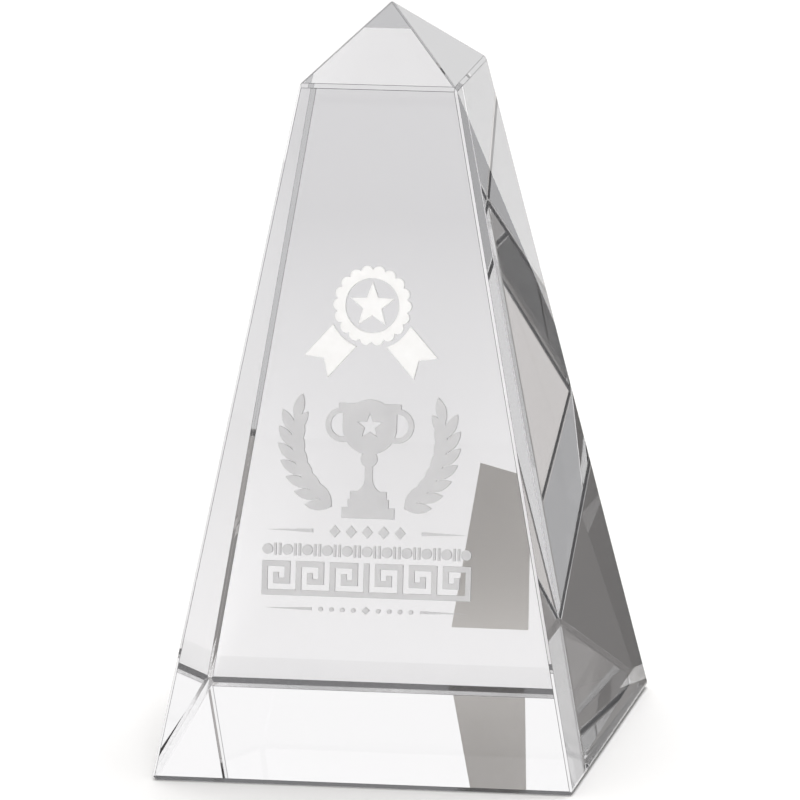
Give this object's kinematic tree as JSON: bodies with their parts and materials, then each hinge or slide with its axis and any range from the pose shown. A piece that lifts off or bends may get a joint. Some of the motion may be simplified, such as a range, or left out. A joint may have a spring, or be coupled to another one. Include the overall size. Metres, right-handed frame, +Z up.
{
  "type": "crystal award",
  "caption": "Tapered square obelisk award of solid clear crystal with a pyramid cap and a sand-carved, filled rosette, cup and border design on its front face.",
  "frame": {"origin": "middle of the base, on the surface the award stands on", "axes": "+Z up through the tip; the carved front face looks along -Y; +X to the viewer's right"},
  "size_m": [0.1006, 0.1006, 0.178],
  "materials": {
    "crystal": "polished optical crystal, clear and colourless",
    "white_fill": "opaque white fill over a sand-carved floor",
    "frost_fill": "pale grey frosted fill over a sand-carved floor"
  },
  "bodies": {
    "root": {"crystal_obelisk": "crystal", "rosette_rim_fill": "white_fill", "rosette_star_fill": "white_fill", "left_ribbon_fill": "white_fill", "right_ribbon_fill": "white_fill", "cup_fill": "frost_fill", "left_laurel_fill": "frost_fill", "right_laurel_fill": "frost_fill", "lozenge_row_fill": "frost_fill", "upper_rule_fill": "frost_fill", "bead_row_fill": "frost_fill", "key_border_fill": "frost_fill", "dot_row_fill": "frost_fill", "lower_rule_fill": "frost_fill"}
  },
  "joints": []
}
